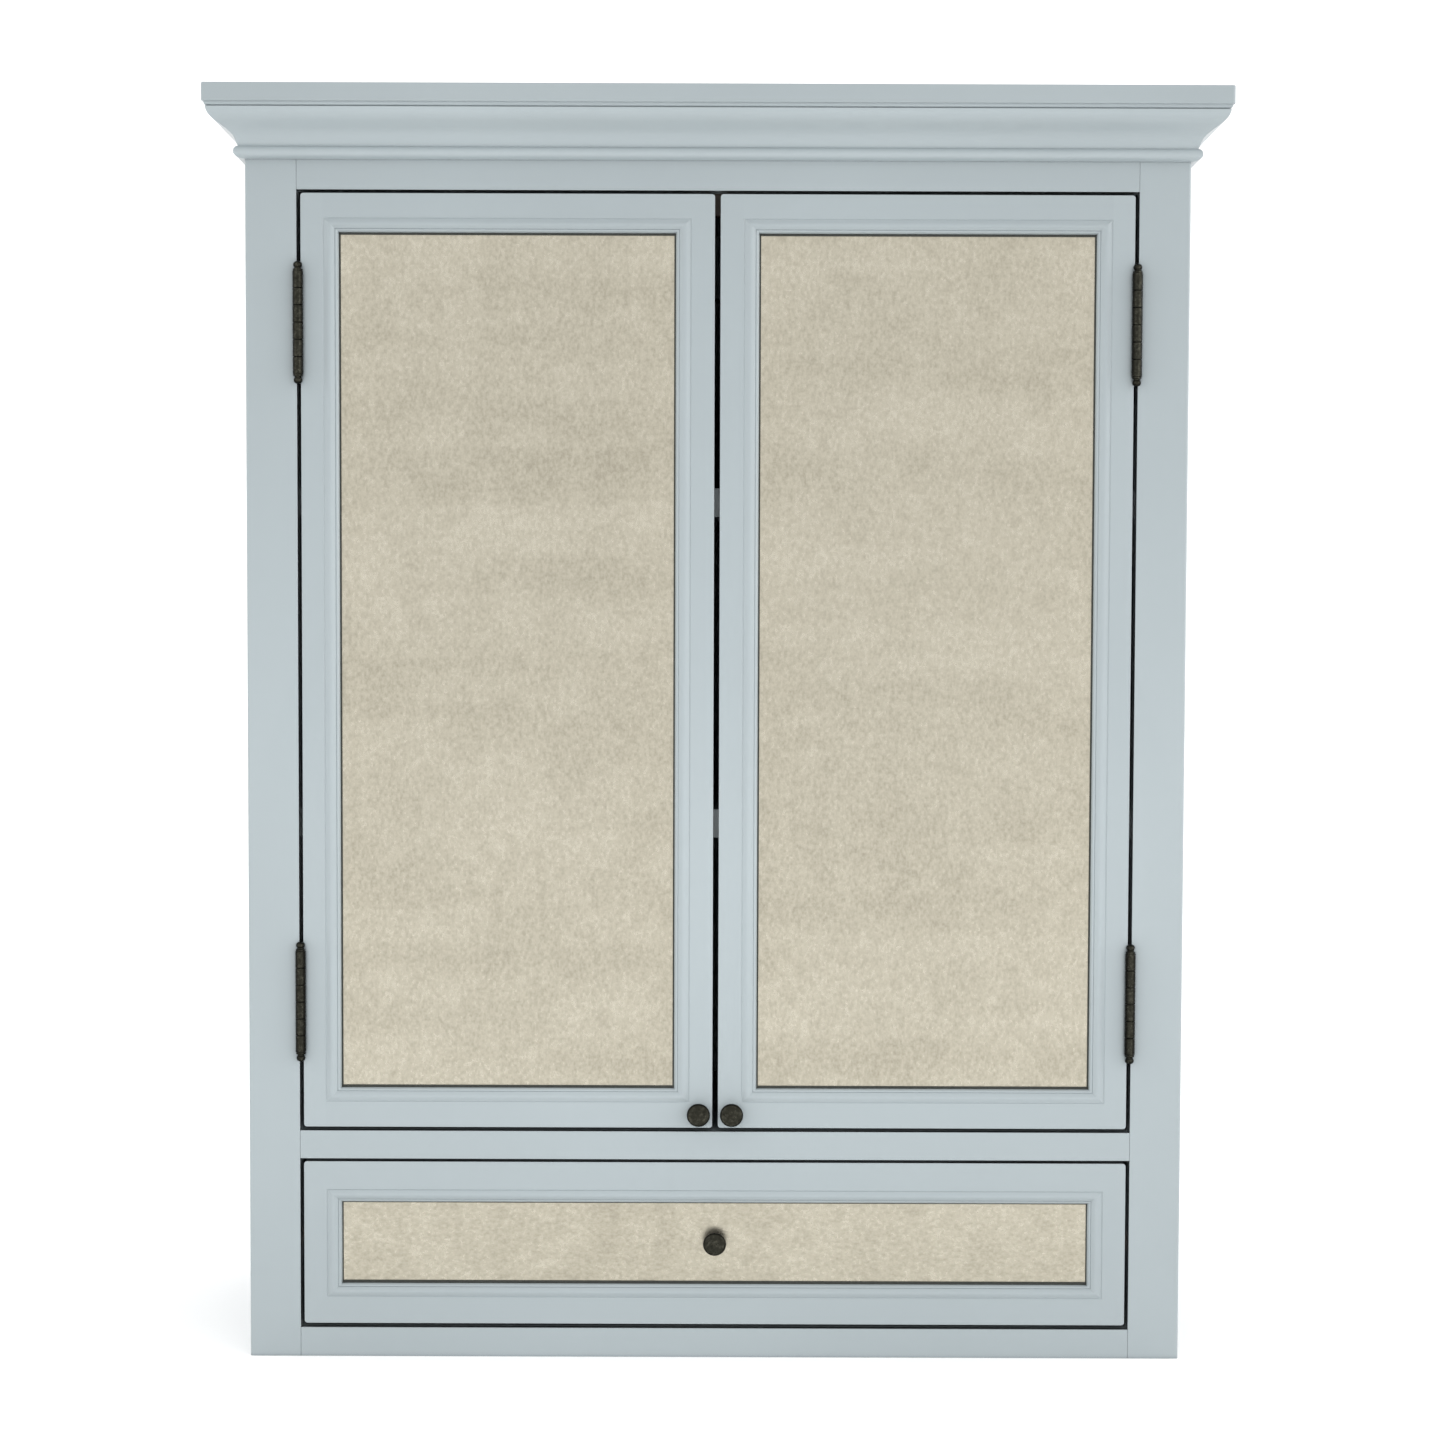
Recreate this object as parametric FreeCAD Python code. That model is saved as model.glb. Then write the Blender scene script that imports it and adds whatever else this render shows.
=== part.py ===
import FreeCAD, Part
import os, math

# Two-door, one-drawer armoire with inset mirrored fronts.
# Units: millimetres.  +Z up, the front looks along -Y, +X is to the right of a
# person facing the front.  Origin: centre of the footprint on the base plane.

V = FreeCAD.Vector

# ---------------------------------------------------------------- dimensions
BODY_W = 800.0          # carcass width over the side panels
BODY_D = 380.0          # face frame front to back edge of the side panels
CROWN_P = 31.6          # projection of the top board past the carcass
TOP_Z = 1081.2          # overall height
TOP_T = 15.6            # top board thickness
YF = -174.0             # plane of the face frame, doors and drawer front
YB = YF + BODY_D        # back edge of the side panels (206)
FRAME_T = 20.0          # thickness of face frame, doors and drawer front
YI = YF + FRAME_T       # inner face of the face frame (-154)
HW = BODY_W / 2.0       # 400
PANEL_T = 18.0          # side, deck, base and ceiling panels
XI = HW - PANEL_T       # inner face of the side panels (382)
BACK_T = 6.0            # back panel
BACK_Y0 = YB - 10.0     # front face of the back panel (196)

STILE_W = 43.5          # face frame stiles
XS = HW - STILE_W       # inner edge of the stiles (356.5)
RAIL_BOT_Z = (0.0, 25.0)
RAIL_MID_Z = (171.7, 195.9)
RAIL_TOP_Z = (997.0, TOP_Z - TOP_T)
RAIL_GAP = 0.12         # paint-filled joint between rail end and stile
EASE = 0.4              # easing of the face frame edges

CEIL_Z = (1004.0, 1022.0)
DECK_Z = (RAIL_MID_Z[1] - PANEL_T, RAIL_MID_Z[1])
BASE_Z = (7.0, 25.0)

SHELF_T = 25.0
SHELF_Z = (447.3, 723.0)    # undersides of the two shelves
SHELF_CLR = 2.0
SHELF_Y = (-149.0, 194.0)
PIN_Y = (-110.0, 150.0)
PIN_R_HEAD, PIN_R_SHANK = 3.5, 2.5

# crown moulding, projection from the carcass at each height: a round bead at the
# foot, a sharp quirk, one long reversed curve, then a second quirk under a narrow
# flat fillet
CROWN_BEAD = [(1.6, 1022.1), (4.4, 1022.8), (6.7, 1024.1), (8.1, 1025.8),
              (8.45, 1027.7), (8.0, 1029.8), (6.8, 1031.5), (4.9, 1032.5)]
CROWN_OGEE = [(5.0, 1032.9), (6.0, 1034.8), (6.9, 1037.8), (8.8, 1041.1),
              (11.5, 1043.9), (14.8, 1046.6), (18.2, 1048.8), (21.5, 1051.0),
              (24.6, 1053.7), (26.8, 1056.4), (28.1, 1059.3), (28.6, 1061.7)]
CROWN_FILLET = [(27.2, 1062.4), (29.2, 1063.1), (29.2, TOP_Z - TOP_T)]

# doors (right-hand door; the left-hand door is its mirror image)
DOOR_X = (2.4, 353.1)
DOOR_Z = (199.2, 994.2)
DOOR_SIGHT_X = (35.4, 321.1)
DOOR_SIGHT_Z = (232.8, 961.7)
MOULD_W = (13.4, 12.0)      # width of the applied moulding on the doors: uprights, rails
DRW_MOULD_W = (13.0, 11.4)  # and on the drawer front
CORNER_R = 2.6          # rounding of the door corners
DOOR_EASE = 0.5         # easing of the door edges

# moulding section for a 12 mm strip: (distance in from its outer edge, height above
# the face); a fine V at the outer edge, a rounded ridge, a crease and a rounded lip
MOULD_EDGE = [(0.0, -0.05), (0.35, -0.35), (0.8, -0.7)]
MOULD_RIDGE = [(0.8, -0.7), (1.6, -0.35), (2.8, 0.45), (4.1, 1.0), (5.4, 1.12),
               (6.6, 0.72), (7.8, -0.1), (9.0, -0.95)]
MOULD_LIP = [(9.25, -1.5), (9.8, -1.25), (10.5, -1.5), (11.2, -2.2),
             (11.75, -3.2), (12.0, -4.3)]
LIP_H = -5.0            # underside of the lip
GLAZE_T = 1.0           # dark glazing strip in front of the glass
GLASS_T = 3.0
BACKER_T = 3.0
POCKET = 7.0            # sight edge to the inner face of the moulding's back leg
# how far the glazing strip shows inside the lip: sides, bottom, top
GLAZE_SHOW_DOOR = (1.35, 2.2, 1.9)
GLAZE_SHOW_DRW = (0.9, 2.4, 0.8)

# drawer
DRW_X = 353.3
DRW_Z = (28.7, 169.2)
DRW_SIGHT_X = 321.0
DRW_SIGHT_Z = (62.8, 133.7)
DRW_SIDE_T = 14.0
DRW_OUT_X = 343.5
DRW_SIDE_Z = (38.0, 148.0)
DRW_BACK_Y = 176.0
DRW_BACK_T = 12.0
DRW_BOT_Z = (46.0, 52.0)
RUN_Z = (88.5, 103.5)
RUN_CLR = 0.4
RUN_TIP_X = 337.0
GROOVE_X = 336.0
GROOVE_Y0 = -140.0

# hinges
HINGE_X = (XS + DOOR_X[1]) / 2.0     # pin axis, centre of the hinge-side gap
HINGE_R = 4.5                        # barrel radius
HINGE_Y = YF - 4.8                   # pin axis, in front of the face
PIN_R = 2.0
LEAF_T = 1.4
KNUCKLES = 6
KNUCKLE_GAP = 0.3
HINGE_SPANS = ((264.2, 351.2), (841.2, 928.2))   # knuckle stack, bottom to top
LEAF_Y1 = -156.0

# knobs
KNOB_X = 14.2
KNOB_Z = 212.0
DRW_KNOB_Z = 99.6
KNOB_PROFILE_STEM = [(6.6, 0.0), (6.6, 1.1), (5.0, 2.3), (4.1, 4.2), (4.2, 6.6),
                     (5.6, 8.8), (8.4, 10.4)]
KNOB_PROFILE_HEAD = [(8.4, 10.4), (9.7, 11.3), (10.0, 12.7), (9.6, 14.2), (8.4, 15.2)]
KNOB_FACE_H = 15.9

# wall fixing
FIX_X = 250.0
FIX_Z = 974.0
FIX_R = 2.75

os.makedirs("parts", exist_ok=True)


# ------------------------------------------------------------------- helpers
def box(x0, x1, y0, y1, z0, z1):
    return Part.makeBox(x1 - x0, y1 - y0, z1 - z0, V(x0, y0, z0))


def edges_where(shape, test):
    out = []
    for e in shape.Edges:
        bb = e.BoundBox
        if test(bb):
            out.append(e)
    return out


def near(a, b, tol=1e-4):
    return abs(a - b) < tol


def fillet(shape, radius, test):
    es = edges_where(shape, test)
    return shape.makeFillet(radius, es) if es else shape


def cyl(p, d, r, length):
    return Part.makeCylinder(r, length, V(*p), V(*d))


def write(name, shapes):
    if not isinstance(shapes, (list, tuple)):
        shapes = [shapes]
    solids = []
    for s in shapes:
        solids.extend(s.Solids)
    for s in solids:
        assert s.isValid() and s.Volume > 0, name
    shape = solids[0] if len(solids) == 1 else Part.makeCompound(solids)
    shape.exportStep("parts/%s.step" % name)


def mirror_x(shapes):
    return [s.mirror(V(0, 0, 0), V(1, 0, 0)) for s in shapes]


def spline(points):
    c = Part.BSplineCurve()
    c.interpolate(points)
    return c.toShape()


def turned(edges, centre, axis):
    """Solid of revolution from a closed profile that has one side on the axis."""
    wire = Part.Wire(Part.__sortEdges__(edges))
    s = Part.Face(wire).revolve(centre, axis, 360)
    s = s.Solids[0]
    if s.Volume < 0:
        s.reverse()
    return s


def cut_all(shape, tools):
    for t in tools:
        shape = shape.cut(t)
    return shape


# ---------------------------------------------------------------- face frame
stile_r = box(XS, HW, YF, YI, 0.0, RAIL_TOP_Z[1])
stile_r = fillet(stile_r, 2.0, lambda b: near(b.YMin, YF) and near(b.YMax, YF)
                 and near(b.XMin, HW) and near(b.XMax, HW) and b.ZLength > 100)
stile_r = fillet(stile_r, EASE, lambda b: near(b.YMin, YF) and near(b.YMax, YF)
                 and near(b.XMin, XS) and near(b.XMax, XS) and b.ZLength > 100)


def rail(z0, z1, ease_low, ease_high):
    s = box(-XS + RAIL_GAP, XS - RAIL_GAP, YF, YI, z0, z1)
    zs = ([z0] if ease_low else []) + ([z1] if ease_high else [])
    for z in zs:
        s = fillet(s, EASE, lambda b: near(b.YMin, YF) and near(b.YMax, YF)
                   and near(b.ZMin, z) and near(b.ZMax, z) and b.XLength > 100)
    s = fillet(s, 0.35, lambda b: near(b.YMin, YF) and near(b.YMax, YF)
               and abs(b.XMin) > XS - 1 and b.XLength < 0.01 and b.ZLength > 10)
    return s


rail_top = rail(RAIL_TOP_Z[0], RAIL_TOP_Z[1], True, False)
rail_middle = rail(RAIL_MID_Z[0], RAIL_MID_Z[1], True, True)
rail_bottom = rail(RAIL_BOT_Z[0], RAIL_BOT_Z[1], False, True)

# -------------------------------------------------------------------- carcass
side_r = box(XI, HW, YI, YB, 0.0, RAIL_TOP_Z[1])
side_r = fillet(side_r, 1.0, lambda b: near(b.XMin, HW) and near(b.XMax, HW)
                and near(b.YMin, YB) and b.ZLength > 100)
ceiling = box(-XI, XI, YI, BACK_Y0, *CEIL_Z)
deck = box(-XI, XI, YI, BACK_Y0, *DECK_Z)
base = box(-XI, XI, YI, BACK_Y0, *BASE_Z)
back = box(-XI, XI, BACK_Y0, BACK_Y0 + BACK_T, BASE_Z[0], RAIL_TOP_Z[1])
fix_rail = box(-XI, XI, BACK_Y0 - 18.0, BACK_Y0, CEIL_Z[0] - 60.0, CEIL_Z[0])
for sx in (-1, 1):
    hole = cyl((sx * FIX_X, BACK_Y0 - 30, FIX_Z), (0, 1, 0), FIX_R, 60.0)
    back = back.cut(hole)
    fix_rail = fix_rail.cut(hole)
fix_rail = fillet(fix_rail, 2.0, lambda b: near(b.YMin, BACK_Y0 - 18.0)
                  and near(b.YMax, BACK_Y0 - 18.0) and near(b.ZMin, CEIL_Z[0] - 60.0)
                  and near(b.ZMax, CEIL_Z[0] - 60.0) and b.XLength > 100)

top_board = box(-HW - CROWN_P, HW + CROWN_P, YF - CROWN_P, YB, TOP_Z - TOP_T, TOP_Z)
top_board = fillet(top_board, 2.2, lambda b: b.ZLength > 10 and near(b.YMin, YF - CROWN_P))
_lo = TOP_Z - TOP_T


def on_rim(b, z):
    if not (near(b.ZMin, z) and near(b.ZMax, z)):
        return False
    return not (near(b.YMin, YB) and near(b.YMax, YB))


top_board = fillet(top_board, 1.1, lambda b: on_rim(b, _lo))
top_board = fillet(top_board, 1.4, lambda b: on_rim(b, TOP_Z))


# crown moulding -----------------------------------------------------------
def crown_face(place):
    bead = [place(p, z) for p, z in CROWN_BEAD]
    ogee = [place(p, z) for p, z in CROWN_OGEE]
    z0, z1 = CROWN_BEAD[0][1], CROWN_FILLET[-1][1]
    rest = [ogee[-1]] + [place(p, z) for p, z in CROWN_FILLET]
    rest += [place(0.0, z1), place(0.0, z0), bead[0]]
    lines = [spline(bead), Part.makeLine(bead[-1], ogee[0]), spline(ogee)]
    lines += [Part.makeLine(a, b) for a, b in zip(rest[:-1], rest[1:])]
    return Part.Face(Part.Wire(lines))


_m = 60.0
_front = crown_face(lambda p, z: V(-HW - _m, YF - p, z)).extrude(V(2 * (HW + _m), 0, 0))
_side = crown_face(lambda p, z: V(HW + p, YF - _m, z)).extrude(V(0, YB - YF + _m, 0))
_z0, _z1 = 1000.0, 1079.0


def prism(points):
    w = Part.makePolygon([V(x, y, _z0) for x, y in points + points[:1]])
    return Part.Face(w).extrude(V(0, 0, _z1 - _z0))


crown_front = _front.common(prism([(-HW, YF), (HW, YF), (HW + _m, YF - _m), (-HW - _m, YF - _m)]))
crown_right = _side.common(prism([(HW, YF), (HW, YB), (HW + _m, YB), (HW + _m, YF - _m)]))

# shelves ----------------------------------------------------------------------
shelves = []
for z in SHELF_Z:
    s = box(-XI + SHELF_CLR, XI - SHELF_CLR, SHELF_Y[0], SHELF_Y[1], z, z + SHELF_T)
    s = fillet(s, 1.0, lambda b: near(b.YMin, SHELF_Y[0]) and near(b.YMax, SHELF_Y[0])
               and b.XLength > 100)
    shelves.append(s)
pins = []
pin_tools = []
for z in SHELF_Z:
    for y in PIN_Y:
        zc = z - PIN_R_HEAD
        shank = cyl((XI, y, zc), (1, 0, 0), PIN_R_SHANK, 9.0)
        head = cyl((XI, y, zc), (-1, 0, 0), PIN_R_HEAD, 10.0)
        head = fillet(head, 0.8, lambda b: near(b.XMin, XI - 10.0) and near(b.XMax, XI - 10.0))
        pin_tools.append(cyl((XI, y, zc), (1, 0, 0), PIN_R_SHANK + 0.03, 9.1))
        pins.append(shank.fuse(head).removeSplitter())
side_r = cut_all(side_r, pin_tools)

# drawer guides ------------------------------------------------------------------
guide_block_r = box(XS, XI, YI, BACK_Y0, BASE_Z[1], DECK_Z[0])
runner_r = box(RUN_TIP_X, XS, GROOVE_Y0 + 1.0, 180.0, *RUN_Z)
runner_r = fillet(runner_r, 1.5, lambda b: near(b.XMin, RUN_TIP_X) and near(b.XMax, RUN_TIP_X)
                  and b.YLength > 100)


# ---------------------------------------------------------------- moulding ring
def moulding(x0, x1, z0, z1, widths, depth, face=YF):
    """Four mitred strips inside the rectangle; depth = back of the rear leg."""
    wx, wz = widths
    out = []

    def face_of(place, width):
        k = width / 12.0
        e = [place(s * k, h) for s, h in MOULD_EDGE]
        b = [place(s * k, h) for s, h in MOULD_RIDGE]
        l = [place(s * k, h) for s, h in MOULD_LIP]
        leg = width - POCKET
        p0 = e[0]
        lines = [spline(e), spline(b), Part.makeLine(b[-1], l[0]), spline(l)]
        tail = [l[-1], place(width, LIP_H), place(leg, LIP_H), place(leg, depth),
                place(0.0, depth), p0]
        for a, c in zip(tail[:-1], tail[1:]):
            lines.append(Part.makeLine(a, c))
        return Part.Face(Part.Wire(lines))

    def trap(points):
        w = Part.makePolygon([V(x, face - 20.0, z) for x, z in points + points[:1]])
        return Part.Face(w).extrude(V(0, 60.0, 0))

    # left, right
    f = face_of(lambda s, h: V(x0 + s, face - h, z0), wx).extrude(V(0, 0, z1 - z0))
    out.append(f.common(trap([(x0, z0), (x0, z1), (x0 + wx, z1 - wz), (x0 + wx, z0 + wz)])))
    f = face_of(lambda s, h: V(x1 - s, face - h, z0), wx).extrude(V(0, 0, z1 - z0))
    out.append(f.common(trap([(x1, z0), (x1, z1), (x1 - wx, z1 - wz), (x1 - wx, z0 + wz)])))
    # bottom, top
    f = face_of(lambda s, h: V(x0, face - h, z0 + s), wz).extrude(V(x1 - x0, 0, 0))
    out.append(f.common(trap([(x0, z0), (x1, z0), (x1 - wx, z0 + wz), (x0 + wx, z0 + wz)])))
    f = face_of(lambda s, h: V(x0, face - h, z1 - s), wz).extrude(V(x1 - x0, 0, 0))
    out.append(f.common(trap([(x0, z1), (x1, z1), (x1 - wx, z1 - wz), (x0 + wx, z1 - wz)])))
    return out


def glazing(x0, x1, z0, z1, show):
    """Four butt-jointed strips; the rectangle is the sight opening."""
    o = 6.6
    side, low, high = show
    ya, yb = YF - LIP_H, YF - LIP_H + GLAZE_T
    return [box(x0 - o, x0 + side, ya, yb, z0 - o, z1 + o),
            box(x1 - side, x1 + o, ya, yb, z0 - o, z1 + o),
            box(x0 + side, x1 - side, ya, yb, z0 - o, z0 + low),
            box(x0 + side, x1 - side, ya, yb, z1 - high, z1 + o)]


def glass(x0, x1, z0, z1):
    o = 6.6
    ya = YF - LIP_H + GLAZE_T
    return box(x0 - o, x1 + o, ya, ya + GLASS_T, z0 - o, z1 + o)


def knob(x, z, y_seat, stud):
    """Turned knob with an integral threaded stud; axis along -Y.  One profile
    from the end of the stud to the middle of the face, turned once round."""
    def P(r, h):
        return V(x + r, y_seat - h, z)
    stem = [P(*q) for q in KNOB_PROFILE_STEM]
    head = [P(*q) for q in KNOB_PROFILE_HEAD]
    corners = [P(0, -stud), P(1.5, -stud), P(2.0, -stud + 0.5), P(2.0, 0), stem[0], stem[1]]
    lines = [Part.makeLine(a, b) for a, b in zip(corners[:-1], corners[1:])]
    lines += [spline(stem[1:]), spline(head)]
    a, b, c = head[-1], P(4.8, 15.75), P(1.2, KNOB_FACE_H)
    lines.append(Part.Arc(a, b, c).toShape())
    lines.append(Part.makeLine(c, P(0, KNOB_FACE_H)))
    lines.append(Part.makeLine(P(0, KNOB_FACE_H), P(0, -stud)))
    return turned(lines, V(x, y_seat, z), V(0, 1, 0))


def hex_nut(x, y, z, af, t, bore):
    r = af / math.sqrt(3.0)
    pts = [V(x + r * math.cos(math.radians(60 * i)), y, z + r * math.sin(math.radians(60 * i)))
           for i in range(7)]
    n = Part.Face(Part.makePolygon(pts)).extrude(V(0, t, 0))
    return n.cut(cyl((x, y - 1, z), (0, 1, 0), bore, t + 2))


# --------------------------------------------------------------------- doors
def hinge_set():
    """Right-hand side: fixed leaves, door leaves, pins, screws and their bores."""
    leaf_f, leaf_d, hpins, scr_f, scr_d, bore_f, bore_d = [], [], [], [], [], [], []
    ax, ay = HINGE_X, HINGE_Y
    for z0, z1 in HINGE_SPANS:
        pitch = (z1 - z0) / KNUCKLES
        pf = box(XS - LEAF_T, XS, YF - 1.2, LEAF_Y1, z0, z1)
        pd = box(DOOR_X[1], DOOR_X[1] + LEAF_T, YF - 1.2, LEAF_Y1, z0, z1)
        kf, kd = [], []
        for i in range(KNUCKLES):
            a = z0 + i * pitch + (KNUCKLE_GAP / 2 if i else 0.0)
            b = z0 + (i + 1) * pitch - (KNUCKLE_GAP / 2 if i < KNUCKLES - 1 else 0.0)
            k = cyl((ax, ay, a), (0, 0, 1), HINGE_R, b - a)
            k = fillet(k, 0.45, lambda bb: bb.ZLength < 1e-6 and bb.XLength > 5)
            clear = cyl((ax, ay, a - KNUCKLE_GAP), (0, 0, 1), HINGE_R + 0.3, b - a + 2 * KNUCKLE_GAP)
            if i % 2 == 0:
                kd.append(k)
                pf = pf.cut(clear)
            else:
                kf.append(k)
                pd = pd.cut(clear)
        for k in kf:
            pf = pf.fuse(k)
        for k in kd:
            pd = pd.fuse(k)
        pf = pf.cut(cyl((ax, ay, z0 - 5), (0, 0, 1), PIN_R + 0.03, z1 - z0 + 10))
        pd = pd.cut(cyl((ax, ay, z0 - 5), (0, 0, 1), PIN_R + 0.06, z1 - z0 + 10))
        # screws: countersunk heads finish flush with the leaf
        for i, zz in enumerate((z0 + 13.0, (z0 + z1) / 2.0, z1 - 13.0)):
            yy = -162.5 if i != 1 else -167.0
            for x_leaf, d, scr, bore in ((XS - LEAF_T, 1, scr_f, bore_f),
                                         (DOOR_X[1] + LEAF_T, -1, scr_d, bore_d)):
                cone = Part.makeCone(2.9, 1.5, LEAF_T, V(x_leaf, yy, zz), V(d, 0, 0))
                shank = cyl((x_leaf + d * LEAF_T, yy, zz), (d, 0, 0), 1.5, 13.0)
                tool = cone.fuse(shank).removeSplitter()
                bore.append(tool)
                xs = sorted((x_leaf, x_leaf + d * 0.5))
                slot = box(xs[0], xs[1], yy - 0.35, yy + 0.35, zz - 4, zz + 4)
                scr.append(tool.cut(slot))
        # pin with a turned button on each end
        prof = [(4.15, 0.25), (4.15, 1.5), (3.1, 2.2), (3.0, 2.9), (3.85, 4.6),
                (3.5, 6.4), (2.0, 7.75)]

        def tip(zb, s):
            P = lambda r, h: V(ax + r, ay, zb + s * h)
            return [Part.makeLine(P(PIN_R, 0.25), P(*prof[0])),
                    Part.makeLine(P(*prof[0]), P(*prof[1])),
                    spline([P(*q) for q in prof[1:4]]), spline([P(*q) for q in prof[3:]]),
                    Part.makeLine(P(*prof[-1]), P(0.9, 8.2)),
                    Part.makeLine(P(0.9, 8.2), P(0, 8.2))]

        ls = tip(z1, 1) + tip(z0, -1)
        ls.append(Part.makeLine(V(ax + PIN_R, ay, z0 - 0.25), V(ax + PIN_R, ay, z1 + 0.25)))
        ls.append(Part.makeLine(V(ax, ay, z0 - 8.2), V(ax, ay, z1 + 8.2)))
        hpins.append(turned(ls, V(ax, ay, z0), V(0, 0, 1)))
        leaf_f.append(pf)
        leaf_d.append(pd)
    leaf_f = [cut_all(l, bore_f) for l in leaf_f]
    leaf_d = [cut_all(l, bore_d) for l in leaf_d]
    return leaf_f, leaf_d, hpins, scr_f, scr_d, bore_f, bore_d


leaf_f, leaf_d, hpins, scr_f, scr_d, bore_f, bore_d = hinge_set()
stile_r = cut_all(stile_r, bore_f)

fx0, fx1 = DOOR_SIGHT_X[0] - MOULD_W[0], DOOR_SIGHT_X[1] + MOULD_W[0]
fz0, fz1 = DOOR_SIGHT_Z[0] - MOULD_W[1], DOOR_SIGHT_Z[1] + MOULD_W[1]


def door_stile(x0, x1, outer):
    s = box(x0, x1, YF, YI, DOOR_Z[0], DOOR_Z[1])
    s = fillet(s, CORNER_R, lambda b: near(b.XMin, outer) and near(b.XMax, outer)
               and b.YLength > 10)
    # ease the rim of the front: the outer edge, its two rounded corners and ends
    def rim(b):
        if not (near(b.YMin, YF) and near(b.YMax, YF)):
            return False
        inner = x0 if near(outer, x1) else x1
        return not (near(b.XMin, inner) and near(b.XMax, inner))
    return fillet(s, DOOR_EASE, rim)


d_stile_hinge = door_stile(fx1, DOOR_X[1], DOOR_X[1])
d_stile_meet = door_stile(DOOR_X[0], fx0, DOOR_X[0])
d_rail_top = box(fx0, fx1, YF, YI, fz1, DOOR_Z[1])
d_rail_top = fillet(d_rail_top, DOOR_EASE, lambda b: near(b.YMin, YF) and near(b.YMax, YF)
                    and near(b.ZMin, DOOR_Z[1]) and b.XLength > 100)
d_rail_bot = box(fx0, fx1, YF, YI, DOOR_Z[0], fz0)
d_rail_bot = fillet(d_rail_bot, DOOR_EASE, lambda b: near(b.YMin, YF) and near(b.YMax, YF)
                    and near(b.ZMax, DOOR_Z[0]) and b.XLength > 100)
glass_back = LIP_H - GLAZE_T - GLASS_T
d_mould = moulding(fx0, fx1, fz0, fz1, MOULD_W, glass_back - BACKER_T)
d_glaze = glazing(DOOR_SIGHT_X[0], DOOR_SIGHT_X[1], DOOR_SIGHT_Z[0], DOOR_SIGHT_Z[1], GLAZE_SHOW_DOOR)
d_glass = glass(DOOR_SIGHT_X[0], DOOR_SIGHT_X[1], DOOR_SIGHT_Z[0], DOOR_SIGHT_Z[1])
yb0 = YF - glass_back
d_backer = box(DOOR_SIGHT_X[0] - 6.6, DOOR_SIGHT_X[1] + 6.6, yb0, yb0 + BACKER_T,
               DOOR_SIGHT_Z[0] - 6.6, DOOR_SIGHT_Z[1] + 6.6)
d_knob = knob(KNOB_X, KNOB_Z, YF, FRAME_T + 4.2)
d_stile_meet = d_stile_meet.cut(cyl((KNOB_X, YF - 5, KNOB_Z), (0, 1, 0), 2.05, 40))
d_stile_hinge = cut_all(d_stile_hinge, bore_d)

# fixings carried by the door: hinge screws, knob nut, backer clips and screws
d_fix = list(scr_d) + [hex_nut(KNOB_X, YI, KNOB_Z, 7.0, 3.2, 2.0)]
yc = yb0 + BACKER_T


def clip(x, z, dx, dz):
    """Flat clip over the joint of moulding leg and backer, with a pan-head screw
    into the leg; (dx, dz) points from the glass towards the leg."""
    lx, lz = (16.0, 9.0) if dx else (9.0, 16.0)
    p = box(x - lx / 2, x + lx / 2, yc, yc + 1.2, z - lz / 2, z + lz / 2)
    p = fillet(p, 3.0, lambda b: b.YLength > 1.0)
    sx, sz = x + dx * 5.7, z + dz * 5.7
    shank = cyl((sx, yc - 2.4, sz), (0, 1, 0), 1.2, 3.6)
    head = cyl((sx, yc + 1.2, sz), (0, 1, 0), 2.6, 1.5)
    head = fillet(head, 1.0, lambda b: near(b.YMin, yc + 2.7) and near(b.YMax, yc + 2.7))
    return p.cut(shank), shank.fuse(head).removeSplitter(), shank


mid_x = (DOOR_SIGHT_X[0] + DOOR_SIGHT_X[1]) / 2
edge = POCKET - 0.2
clips_at = []
for zz in (330.0, 597.0, 864.0):
    clips_at.append((DOOR_SIGHT_X[0] - edge + 3.5, zz, -1, 0))
    clips_at.append((DOOR_SIGHT_X[1] + edge - 3.5, zz, 1, 0))
clips_at.append((mid_x, DOOR_SIGHT_Z[0] - edge + 3.5, 0, -1))
clips_at.append((mid_x, DOOR_SIGHT_Z[1] + edge - 3.5, 0, 1))
clip_bores = []
for c in clips_at:
    p, s, t = clip(*c)
    d_fix += [p, s]
    clip_bores.append(t)
d_mould = [cut_all(m, clip_bores) for m in d_mould]

# strike plate for the magnetic catch, on the inner face of the meeting stile
STRIKE_X, STRIKE_Z = 12.0, 986.0
d_strike = box(STRIKE_X - 7, STRIKE_X + 7, YI, YI + 1.2, STRIKE_Z - 6, STRIKE_Z + 6)
d_strike = fillet(d_strike, 2.0, lambda b: b.YLength > 1.0)

door_r = {"stile_hinge": [d_stile_hinge], "stile_meeting": [d_stile_meet],
          "rail_top": [d_rail_top], "rail_bottom": [d_rail_bot], "moulding": d_mould,
          "glazing": d_glaze, "mirror": [d_glass], "backer": [d_backer],
          "knob": [d_knob], "hinge_leaves": leaf_d, "fixings": d_fix,
          "strike": [d_strike]}
for key, shapes in door_r.items():
    write("door_right_" + key, shapes)
    write("door_left_" + key, mirror_x(shapes))

# double magnetic catch under the ceiling panel
cz0 = 979.0
catch_body = box(-25.0, 25.0, YI + 1.6, YI + 16.0, cz0, CEIL_Z[0])
catch_body = fillet(catch_body, 1.6, lambda b: b.ZLength > 10)
catch = [catch_body]
for sx in (-1, 1):
    m = box(sx * STRIKE_X - 5.5, sx * STRIKE_X + 5.5, YI + 1.4, YI + 12.0, cz0 + 2.0, cz0 + 12.0)
    catch[0] = catch[0].cut(m)
    catch.append(m)
write("magnetic_catch", catch)

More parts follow.
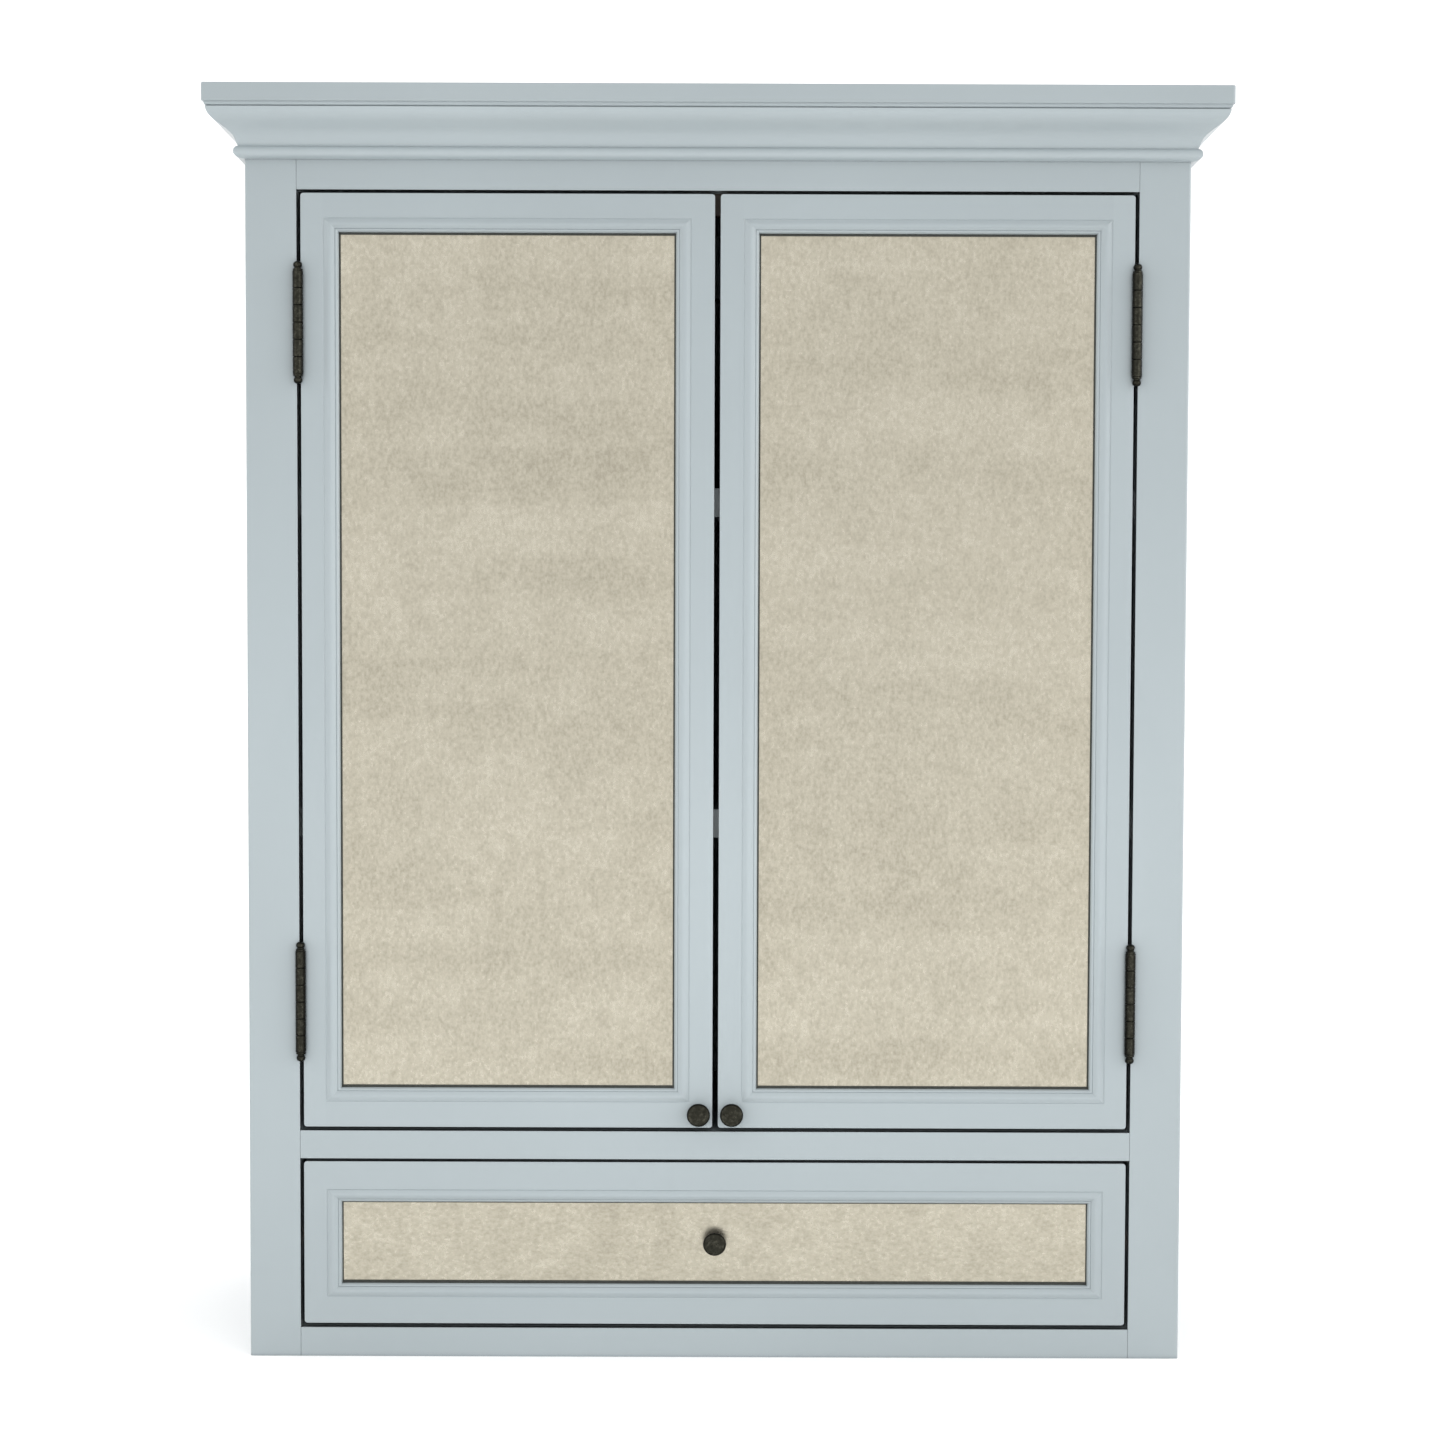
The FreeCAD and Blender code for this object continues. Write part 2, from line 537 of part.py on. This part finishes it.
# -------------------------------------------------------------------- drawer
gx0, gx1 = -DRW_SIGHT_X - DRW_MOULD_W[0], DRW_SIGHT_X + DRW_MOULD_W[0]
gz0, gz1 = DRW_SIGHT_Z[0] - DRW_MOULD_W[1], DRW_SIGHT_Z[1] + DRW_MOULD_W[1]
drw_front = box(-DRW_X, DRW_X, YF, YI, *DRW_Z)
drw_front = fillet(drw_front, CORNER_R, lambda b: b.YLength > 10)
drw_front = fillet(drw_front, DOOR_EASE, lambda b: near(b.YMin, YF) and near(b.YMax, YF))
drw_front = drw_front.cut(box(gx0, gx1, YF - 5, YF - glass_back, gz0, gz1))
drw_mould = moulding(gx0, gx1, gz0, gz1, DRW_MOULD_W, glass_back)
drw_glaze = glazing(-DRW_SIGHT_X, DRW_SIGHT_X, DRW_SIGHT_Z[0], DRW_SIGHT_Z[1], GLAZE_SHOW_DRW)
drw_glass = glass(-DRW_SIGHT_X, DRW_SIGHT_X, DRW_SIGHT_Z[0], DRW_SIGHT_Z[1])
seat = YF - LIP_H + GLAZE_T
drw_knob = knob(0.0, DRW_KNOB_Z, seat, 3.0 + 11.0 + 4.0)
_kb = cyl((0, YF - 5, DRW_KNOB_Z), (0, 1, 0), 2.0, 60)
drw_glass = drw_glass.cut(_kb)
drw_front = drw_front.cut(_kb)
nut = hex_nut(0.0, YI, DRW_KNOB_Z, 7.0, 3.2, 2.0)

drw_side = box(DRW_OUT_X - DRW_SIDE_T, DRW_OUT_X, YI, DRW_BACK_Y, *DRW_SIDE_Z)
drw_side = fillet(drw_side, 1.5, lambda b: near(b.ZMin, DRW_SIDE_Z[1]) and b.YLength > 100)
groove = box(GROOVE_X, DRW_OUT_X + 2, GROOVE_Y0, DRW_BACK_Y + 2,
             RUN_Z[0] - RUN_CLR, RUN_Z[1] + RUN_CLR)
drw_side = drw_side.cut(groove)
bot_groove = box(DRW_OUT_X - DRW_SIDE_T - 1, DRW_OUT_X - 8.0, YI - 1, DRW_BACK_Y + 2, *DRW_BOT_Z)
drw_side = drw_side.cut(bot_groove)
drw_back = box(-DRW_OUT_X + DRW_SIDE_T, DRW_OUT_X - DRW_SIDE_T, DRW_BACK_Y - DRW_BACK_T,
               DRW_BACK_Y, DRW_BOT_Z[1], DRW_SIDE_Z[1])
drw_back = fillet(drw_back, 1.5, lambda b: near(b.ZMin, DRW_SIDE_Z[1]) and b.XLength > 100)
drw_bottom = box(-DRW_OUT_X + 8.0, DRW_OUT_X - 8.0, YI, DRW_BACK_Y, *DRW_BOT_Z)

write("drawer_front", drw_front)
write("drawer_moulding", drw_mould)
write("drawer_glazing", drw_glaze)
write("drawer_mirror", drw_glass)
write("drawer_knob", [drw_knob, nut])
write("drawer_side_right", drw_side)
write("drawer_side_left", mirror_x([drw_side]))
write("drawer_back", drw_back)
write("drawer_bottom", drw_bottom)

# --------------------------------------------------------------- write the rest
write("frame_stile_right", stile_r)
write("frame_stile_left", mirror_x([stile_r]))
write("frame_rail_top", rail_top)
write("frame_rail_middle", rail_middle)
write("frame_rail_bottom", rail_bottom)
write("side_panel_right", side_r)
write("side_panel_left", mirror_x([side_r]))
write("ceiling_panel", ceiling)
write("deck_panel", deck)
write("base_panel", base)
write("back_panel", back)
write("fixing_rail", fix_rail)
write("top_board", top_board)
write("crown_front", crown_front)
write("crown_right", crown_right)
write("crown_left", mirror_x([crown_right]))
write("shelf_lower", shelves[0])
write("shelf_upper", shelves[1])
write("shelf_pins", pins + mirror_x(pins))
write("guide_block_right", guide_block_r)
write("guide_block_left", mirror_x([guide_block_r]))
write("runner_right", runner_r)
write("runner_left", mirror_x([runner_r]))
write("frame_hinge_leaves", leaf_f + mirror_x(leaf_f))
write("hinge_pins", hpins + mirror_x(hpins))
write("frame_hinge_screws", scr_f + mirror_x(scr_f))
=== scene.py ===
import bpy, math
from mathutils import Vector, Matrix


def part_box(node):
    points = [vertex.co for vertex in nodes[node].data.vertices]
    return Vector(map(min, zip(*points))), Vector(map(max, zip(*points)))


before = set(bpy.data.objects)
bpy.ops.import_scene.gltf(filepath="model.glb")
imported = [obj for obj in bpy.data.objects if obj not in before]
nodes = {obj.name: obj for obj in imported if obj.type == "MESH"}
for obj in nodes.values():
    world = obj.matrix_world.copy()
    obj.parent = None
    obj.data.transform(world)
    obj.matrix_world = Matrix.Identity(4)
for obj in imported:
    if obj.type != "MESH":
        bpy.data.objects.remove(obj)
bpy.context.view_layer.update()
scene = bpy.context.scene
scene.view_settings.view_transform = "Standard"
scene.view_settings.look = "None"
scene.view_settings.exposure = 0.0
scene.view_settings.gamma = 1.0


# --------------------------------------------------------------------- materials
class Mat:
    """Small helper for building a node material around one Principled shader."""

    def __init__(self, name):
        self.m = bpy.data.materials.new(name)
        self.m.use_nodes = True
        self.t = self.m.node_tree
        self.n = self.t.nodes
        self.b = self.n["Principled BSDF"]
        self.obj = self.n.new("ShaderNodeTexCoord").outputs["Object"]

    def set(self, **kw):
        for k, v in kw.items():
            self.b.inputs[k.replace("_", " ")].default_value = v
        return self

    def link(self, a, b):
        self.t.links.new(a, b)

    def mapping(self, scale=(1, 1, 1), loc=(0, 0, 0), rot=(0, 0, 0)):
        mp = self.n.new("ShaderNodeMapping")
        mp.inputs["Scale"].default_value = scale
        mp.inputs["Location"].default_value = loc
        mp.inputs["Rotation"].default_value = rot
        self.link(self.obj, mp.inputs["Vector"])
        return mp.outputs["Vector"]

    def noise(self, vec, scale, detail=2.0, rough=0.5, distortion=0.0):
        nz = self.n.new("ShaderNodeTexNoise")
        nz.inputs["Scale"].default_value = scale
        nz.inputs["Detail"].default_value = detail
        nz.inputs["Roughness"].default_value = rough
        nz.inputs["Distortion"].default_value = distortion
        self.link(vec, nz.inputs["Vector"])
        return nz.outputs["Fac"]

    def wave(self, vec, scale, distortion, detail=2.0, dscale=1.0, direction="X"):
        w = self.n.new("ShaderNodeTexWave")
        w.bands_direction = direction
        w.inputs["Scale"].default_value = scale
        w.inputs["Distortion"].default_value = distortion
        w.inputs["Detail"].default_value = detail
        w.inputs["Detail Scale"].default_value = dscale
        self.link(vec, w.inputs["Vector"])
        return w.outputs["Fac"]

    def math(self, op, a, b=None, clamp=False):
        mt = self.n.new("ShaderNodeMath")
        mt.operation = op
        mt.use_clamp = clamp
        for i, v in enumerate((a, b)):
            if v is None:
                continue
            if isinstance(v, (int, float)):
                mt.inputs[i].default_value = v
            else:
                self.link(v, mt.inputs[i])
        return mt.outputs[0]

    def ramp(self, fac, stops, interp="LINEAR"):
        r = self.n.new("ShaderNodeValToRGB")
        r.color_ramp.interpolation = interp
        els = r.color_ramp.elements
        while len(els) < len(stops):
            els.new(0.5)
        for e, (p, c) in zip(els, stops):
            e.position = p
            e.color = (*c, 1.0) if len(c) == 3 else c
        self.link(fac, r.inputs["Fac"])
        return r.outputs["Color"]

    def mix(self, fac, a, b, blend="MIX"):
        mx = self.n.new("ShaderNodeMix")
        mx.data_type = "RGBA"
        mx.blend_type = blend
        for idx, v in ((0, fac), (6, a), (7, b)):
            if isinstance(v, (int, float)):
                mx.inputs[idx].default_value = v
            elif isinstance(v, tuple):
                mx.inputs[idx].default_value = (*v, 1.0) if len(v) == 3 else v
            else:
                self.link(v, mx.inputs[idx])
        return mx.outputs[2]

    def scaled(self, fac, lo, hi):
        mr = self.n.new("ShaderNodeMapRange")
        mr.inputs["To Min"].default_value = lo
        mr.inputs["To Max"].default_value = hi
        self.link(fac, mr.inputs["Value"])
        return mr.outputs["Result"]

    def add(self, *terms):
        """Sum of (noise, weight) pairs, each centred on zero, about 0.5."""
        v = 0.5
        for f, w in terms:
            v = self.math("ADD", self.math("MULTIPLY", self.math("SUBTRACT", f, 0.5), w), v)
        return v

    def smooth(self, x, a, b, ya=0.0, yb=1.0):
        mr = self.n.new("ShaderNodeMapRange")
        mr.interpolation_type = "SMOOTHSTEP"
        for key, v in (("From Min", a), ("From Max", b), ("To Min", ya), ("To Max", yb)):
            mr.inputs[key].default_value = v
        self.link(x, mr.inputs["Value"])
        return mr.outputs["Result"]

    def painted_crevice_shade(self, col, deep=None, distance=0.010, lo=0.22, hi=0.62):
        """Painted shade: joints and gaps narrower than the distance are darkened towards near black.  deep is a
        span of depth (y) over which it fades out, so that edge faces stay painted."""
        ao = self.n.new("ShaderNodeAmbientOcclusion")
        ao.samples = 12
        ao.inputs["Distance"].default_value = distance
        shade = self.smooth(ao.outputs["AO"], lo, hi, 0.98, 0.0)
        if deep:
            sp = self.n.new("ShaderNodeSeparateXYZ")
            self.link(self.obj, sp.inputs[0])
            shade = self.math("MULTIPLY", shade, self.smooth(sp.outputs["Y"], deep[0], deep[1], 1.0, 0.0))
        # painted shade colour: near black, mixed in where ambient occlusion is low
        return self.mix(shade, col, (0.008, 0.009, 0.010))

    def bump(self, height, strength, distance, after=None):
        bp = self.n.new("ShaderNodeBump")
        bp.inputs["Strength"].default_value = strength
        bp.inputs["Distance"].default_value = distance
        self.link(height, bp.inputs["Height"])
        if after is not None:
            self.link(after, bp.inputs["Normal"])
        return bp.outputs["Normal"]

    def finish(self, color=None, rough=None, normal=None):
        if color is not None:
            self.link(color, self.b.inputs["Base Color"])
        if rough is not None:
            self.link(rough, self.b.inputs["Roughness"])
        if normal is not None:
            self.link(normal, self.b.inputs["Normal"])
        return self.m


PAINT = (0.279, 0.318, 0.333)


def paint(name, grain, seed=0.0, shade_tint=1.0, deep=(-0.1690, -0.1640), lo=0.22, hi=0.66):
    """Sprayed satin paint over wood: grain is the axis of the board (0, 1 or 2)."""
    k = Mat(name)
    k.set(Specular_IOR_Level=0.55)
    st = [26.0, 26.0, 26.0]
    st[grain] = 1.6
    big = k.noise(k.mapping(loc=(seed, seed * 0.7, seed * 1.3)), 3.2, 3.0)
    fine = k.noise(k.mapping(), 900.0, 2.0)
    gr = k.noise(k.mapping(scale=tuple(st), loc=(seed, 0, seed)), 9.0, 5.0, 0.6)
    # shade_tint scales this copy's colour: a painted lightening or darkening that stands in for light
    c0 = tuple(c * 0.972 * shade_tint for c in PAINT)
    c1 = tuple(min(1, c * 1.028 * shade_tint) for c in PAINT)
    col = k.ramp(big, [(0.3, c0), (0.7, c1)])
    col = k.mix(k.scaled(fine, 0.0, 0.10), col, tuple(c * 0.93 for c in PAINT))
    # painted shade: narrow joints and door gaps go near black in the front few millimetres (deep), unless hi is
    # None
    if hi:
        col = k.painted_crevice_shade(col, deep, lo=lo, hi=hi)
    rough = k.math("ADD", k.scaled(big, 0.28, 0.32), k.scaled(fine, -0.02, 0.03))
    peel = k.noise(k.mapping(), 420.0, 2.0, 0.45)
    nrm = k.bump(gr, 0.10, 0.00035)
    nrm = k.bump(peel, 0.10, 0.00018, nrm)
    return k.finish(col, rough, nrm)


def antique_mirror(name, grain, shade_tint=1.0):
    """Silvered glass with a mottled champagne finish, streaks along one axis."""
    k = Mat(name)
    k.set(Metallic=1.0)
    fine_s, band_s = [1.0, 1.0, 1.0], [1.0, 1.0, 1.0]
    fine_s[grain] = 0.72
    band_s[0 if grain == 2 else 2] = 0.12
    fine = k.noise(k.mapping(scale=tuple(fine_s)), 390.0, 3.0, 0.62)
    mid = k.noise(k.mapping(scale=tuple(fine_s), loc=(3, 1, 2)), 105.0, 3.0, 0.55, 0.3)
    cloud = k.noise(k.mapping(loc=(1.7, 0.2, 4.1)), 24.0, 3.0, 0.55, 0.4)
    band = k.noise(k.mapping(scale=tuple(band_s), loc=(0.3, 2.0, 0.8)), 22.0, 2.0, 0.5, 0.2)
    v = k.add((fine, 1.22), (mid, 0.30), (cloud, 0.42), (band, 0.44))
    tones = ((0.369, 0.341, 0.271), (0.491, 0.459, 0.371), (0.603, 0.568, 0.472))
    # shade_tint scales the tones: a painted darkening of this copy of the glass
    col = k.ramp(v, [(p, tuple(c * shade_tint for c in t)) for p, t in zip((0.10, 0.5, 0.90), tones)])
    warm = k.noise(k.mapping(loc=(9, 3, 5)), 60.0, 2.0)
    col = k.mix(k.scaled(warm, 0.0, 0.05), col, (0.600, 0.520, 0.420))
    rough = k.scaled(v, 0.34, 0.24)
    nrm = k.bump(mid, 0.05, 0.0003)
    return k.finish(col, rough, nrm)


def dark_pewter(name):
    k = Mat(name)
    k.set(Metallic=1.0)
    cloud = k.noise(k.mapping(), 300.0, 4.0, 0.6)
    worn = k.noise(k.mapping(loc=(2, 5, 1)), 90.0, 2.0)
    col = k.ramp(cloud, [(0.32, (0.012, 0.012, 0.0095)), (0.55, (0.031, 0.031, 0.0245)),
                         (0.75, (0.084, 0.082, 0.064))])
    col = k.mix(k.scaled(worn, 0.0, 0.35), col, (0.052, 0.049, 0.036))
    # painted shade: faces turned sideways from the front, round the barrel sides and knob rims, are darkened
    # towards black by their normal; the fronts keep the pewter colour
    sp = k.n.new("ShaderNodeSeparateXYZ")
    k.link(k.n.new("ShaderNodeTexCoord").outputs["Normal"], sp.inputs[0])
    col = k.mix(k.smooth(k.math("ABSOLUTE", sp.outputs["Y"]), 0.74, 0.975, 0.85, 0.0), col, (0.006, 0.006, 0.005))
    rough = k.scaled(cloud, 0.36, 0.20)
    pit = k.noise(k.mapping(), 1500.0, 2.0)
    return k.finish(col, rough, k.bump(pit, 0.16, 0.0001))


def zinc(name):
    k = Mat(name)
    k.set(Metallic=1.0)
    sp = k.noise(k.mapping(), 900.0, 3.0)
    col = k.ramp(sp, [(0.3, (0.48, 0.48, 0.46)), (0.7, (0.64, 0.64, 0.61))])
    return k.finish(col, k.scaled(sp, 0.30, 0.42), k.bump(sp, 0.06, 0.0001))


# painted shadow: near-black strips set round the mirrors stand in for the shadow gap between the glass and the
# moulding lip
def painted_gap_shadow(name):
    k = Mat(name)
    f = k.noise(k.mapping(), 700.0, 3.0)
    col = k.ramp(f, [(0.3, (0.014, 0.016, 0.013)), (0.7, (0.030, 0.033, 0.028))])
    return k.finish(col, k.scaled(f, 0.62, 0.78), k.bump(f, 0.2, 0.0001))


def hardboard(name):
    k = Mat(name)
    a = k.noise(k.mapping(), 60.0, 5.0, 0.6)
    b = k.noise(k.mapping(scale=(1, 1, 0.3)), 900.0, 3.0, 0.7)
    col = k.ramp(a, [(0.3, (0.125, 0.066, 0.034)), (0.7, (0.190, 0.108, 0.058))])
    col = k.mix(k.scaled(b, 0.0, 0.5), col, (0.085, 0.045, 0.024))
    return k.finish(col, k.scaled(b, 0.72, 0.55), k.bump(b, 0.3, 0.0003))


def bare_wood(name, grain, seed=0.0, light=1.0):
    """Clear-lacquered pale hardwood: fibres along the axis grain."""
    k = Mat(name)
    st = [1.0, 1.0, 1.0]
    st[grain] = 0.05
    v = k.mapping(scale=tuple(st), loc=(seed, seed * 2.1, seed * 0.6))
    rings = k.noise(v, 42.0, 3.0, 0.55, 1.6)
    fib = k.noise(v, 900.0, 3.0, 0.6)
    pores = k.noise(v, 2400.0, 1.0)
    col = k.ramp(rings, [(0.25, (0.46 * light, 0.285 * light, 0.150 * light)),
                         (0.5, (0.60 * light, 0.405 * light, 0.235 * light)),
                         (0.78, (0.70 * light, 0.500 * light, 0.315 * light))])
    col = k.mix(k.scaled(fib, 0.0, 0.30), col, (0.40 * light, 0.235 * light, 0.115 * light))
    rough = k.scaled(fib, 0.42, 0.56)
    nrm = k.bump(fib, 0.16, 0.0003)
    return k.finish(col, rough, k.bump(pores, 0.08, 0.0002, nrm))


def back_board(name):
    k = Mat(name)
    a = k.noise(k.mapping(), 4.0, 3.0)
    b = k.noise(k.mapping(), 800.0, 2.0)
    c = tuple(x * 0.86 for x in PAINT)
    col = k.ramp(a, [(0.3, tuple(x * 0.95 for x in c)), (0.7, tuple(x * 1.04 for x in c))])
    return k.finish(col, k.scaled(b, 0.52, 0.66), k.bump(b, 0.15, 0.0002))


def plastic(name):
    k = Mat(name)
    f = k.noise(k.mapping(), 1400.0, 2.0)
    col = k.ramp(f, [(0.3, (0.050, 0.036, 0.026)), (0.7, (0.066, 0.049, 0.036))])
    return k.finish(col, k.scaled(f, 0.42, 0.55), k.bump(f, 0.1, 0.0001))


PAINT_X = paint("paint_rail", 0, 0.3)
PAINT_Z = paint("paint_stile", 2, 1.9)
PAINT_ZL = paint("paint_stile_b", 2, 4.4)
PAINT_Y = paint("paint_side", 1, 3.1, deep=None, lo=0.05, hi=0.50)
# painted light: the crown's copy of the paint is 12% lighter to offset the shade in its coves, with a weaker
# painted crevice shade
PAINT_CROWN = paint("paint_crown", 0, 5.7, shade_tint=1.12, deep=None, lo=0.02, hi=0.24)
PAINT_PANEL = paint("paint_panel", 0, 6.2, hi=None)
# painted shade: the drawer's copy of the mirror is darker (0.93 against 0.97) to offset the bright floor it
# reflects
MIRROR_V = antique_mirror("antique_mirror_doors", 2, 0.97)
MIRROR_H = antique_mirror("antique_mirror_drawer", 0, 0.93)
PEWTER = dark_pewter("dark_pewter")
ZINC = zinc("zinc_hardware")
# painted shadow strip for the glazing nodes round the mirrors
GAP_SHADOW_STRIP = painted_gap_shadow("glazing_strip")
BOARD = hardboard("hardboard")
BACK = back_board("back_board")
PLASTIC = plastic("catch_plastic")

assign = {}
for n in nodes:
    if n.endswith("_mirror"):
        assign[n] = MIRROR_H if n.startswith("drawer") else MIRROR_V
    elif n.endswith("_glazing"):
        assign[n] = GAP_SHADOW_STRIP
    elif n.endswith("_knob") or n.endswith("hinge_leaves") or n in ("hinge_pins", "frame_hinge_screws"):
        assign[n] = PEWTER
    elif n.endswith("_fixings") or n.endswith("_strike") or n == "shelf_pins":
        assign[n] = ZINC
    elif n.endswith("_backer"):
        assign[n] = BOARD
    elif n == "back_panel":
        assign[n] = BACK
    elif n == "magnetic_catch":
        assign[n] = PLASTIC
    elif "stile" in n:
        assign[n] = PAINT_ZL if "door" in n else PAINT_Z
    elif n.startswith("side_panel"):
        assign[n] = PAINT_Z
    elif n in ("crown_left", "crown_right"):
        assign[n] = PAINT_Y
    elif n == "crown_front":
        assign[n] = PAINT_CROWN
    elif n in ("top_board", "ceiling_panel", "deck_panel", "base_panel", "shelf_lower", "shelf_upper"):
        assign[n] = PAINT_PANEL
    else:
        assign[n] = PAINT_X
assign["drawer_side_left"] = bare_wood("wood_drawer_side_l", 1, 0.4)
assign["drawer_side_right"] = bare_wood("wood_drawer_side_r", 1, 1.7)
assign["drawer_back"] = bare_wood("wood_drawer_back", 0, 2.9)
assign["drawer_bottom"] = bare_wood("wood_drawer_bottom", 0, 5.3, 1.05)
assign["runner_left"] = bare_wood("wood_runner_l", 1, 7.1, 0.85)
assign["runner_right"] = bare_wood("wood_runner_r", 1, 8.8, 0.85)
for n, m in assign.items():
    o = nodes[n]
    o.data.materials.clear()
    o.data.materials.append(m)

# ------------------------------------------------------------------ floor, light
def stage_floor():
    """Pale floor that turns up into a backdrop in one long curve."""
    r, back, wall, width, front = 1.2, 3.4, 5.0, 9.0, -9.0
    prof = [(front, 0.0), (back - r, 0.0)]
    for i in range(1, 25):
        a = math.radians(90.0 * i / 24)
        prof.append((back - r + r * math.sin(a), r - r * math.cos(a)))
    prof.append((back, wall))
    verts, faces = [], []
    for y, z in prof:
        verts += [(-width, y, z), (width, y, z)]
    for i in range(len(prof) - 1):
        faces.append((2 * i, 2 * i + 1, 2 * i + 3, 2 * i + 2))
    me = bpy.data.meshes.new("studio_floor")
    me.from_pydata(verts, [], faces)
    for p in me.polygons:
        p.use_smooth = True
    ob = bpy.data.objects.new("studio_floor", me)
    scene.collection.objects.link(ob)
    k = Mat("studio_floor")
    k.set(Specular_IOR_Level=0.1)
    f = k.noise(k.mapping(), 2.0, 2.0)
    me.materials.append(k.finish(k.ramp(f, [(0.3, (0.962, 0.962, 0.962)), (0.7, (0.972, 0.972, 0.972))]),
                                 k.scaled(f, 0.85, 0.9)))


stage_floor()

WORLD_FRONT, WORLD_RIGHT, WORLD_LEFT, WORLD_UP = 1.10, 2.90, 1.00, -0.04
world = bpy.data.worlds.new("studio") if scene.world is None else scene.world
scene.world = world
world.use_nodes = True
bg = world.node_tree.nodes["Background"]
wt = world.node_tree
geo = wt.nodes.new("ShaderNodeTexCoord")
sep = wt.nodes.new("ShaderNodeSeparateXYZ")
wt.links.new(geo.outputs["Generated"], sep.inputs[0])


def wmath(op, a, b=None, clamp=False):
    m = wt.nodes.new("ShaderNodeMath")
    m.operation = op
    m.use_clamp = clamp
    for i, v in enumerate((a, b)):
        if v is None:
            continue
        if isinstance(v, (int, float)):
            m.inputs[i].default_value = v
        else:
            wt.links.new(v, m.inputs[i])
    return m.outputs[0]


# a white room: dimmer straight ahead, brighter walls at the sides, most at the right
sx, sz = sep.outputs["X"], sep.outputs["Z"]
right = wmath("POWER", wmath("MAXIMUM", sx, 0.0), 4.0)
left = wmath("POWER", wmath("MAXIMUM", wmath("MULTIPLY", sx, -1.0), 0.0), 2.0)
up = wmath("MAXIMUM", sz, 0.0)
lum = wmath("ADD", WORLD_FRONT, wmath("MULTIPLY", right, WORLD_RIGHT))
lum = wmath("ADD", lum, wmath("MULTIPLY", left, WORLD_LEFT))
lum = wmath("ADD", lum, wmath("MULTIPLY", up, WORLD_UP))
bg.inputs["Color"].default_value = (1.0, 1.0, 1.0, 1.0)
wt.links.new(lum, bg.inputs["Strength"])


def area(name, loc, target, size, power, color=(1, 1, 1)):
    ld = bpy.data.lights.new(name, "AREA")
    ld.shape = "RECTANGLE"
    ld.size, ld.size_y = size
    ld.energy = power
    ld.color = color
    ob = bpy.data.objects.new(name, ld)
    scene.collection.objects.link(ob)
    ob.location = loc
    ob.rotation_euler = (Vector(target) - Vector(loc)).to_track_quat("-Z", "Y").to_euler()
    return ob


# a tall soft light to the right, and a low one in front that lifts the middle
area("key_right", (1.95, -2.6, 0.60), (0, -0.1, 0.6), (0.6, 1.9), 5.5)
low = area("front_low", (0.0, -1.25, 0.39), (0, 0, 0.39), (1.2, 0.2), 2.3)
low.data.spread = math.radians(104.0)
low.visible_glossy = False
low.visible_camera = False

# ------------------------------------------------------------------------- camera
cd = bpy.data.cameras.new("camera")
cam = bpy.data.objects.new("camera", cd)
scene.collection.objects.link(cam)
cd.sensor_width = 36.0
cd.lens = 75.93
cd.shift_x = 0.0020
cd.shift_y = 0.0593
cd.clip_start, cd.clip_end = 0.05, 60.0
face_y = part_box("frame_stile_left")[0][1]
cam.location = (0.0031, face_y - 2.6, 0.617)
cam.rotation_mode = "QUATERNION"
rot = Matrix.Rotation(math.radians(90.0 - 3.14), 3, "X") @ Matrix.Rotation(math.radians(0.19), 3, "Z")
cam.rotation_quaternion = rot.to_quaternion()
scene.camera = cam
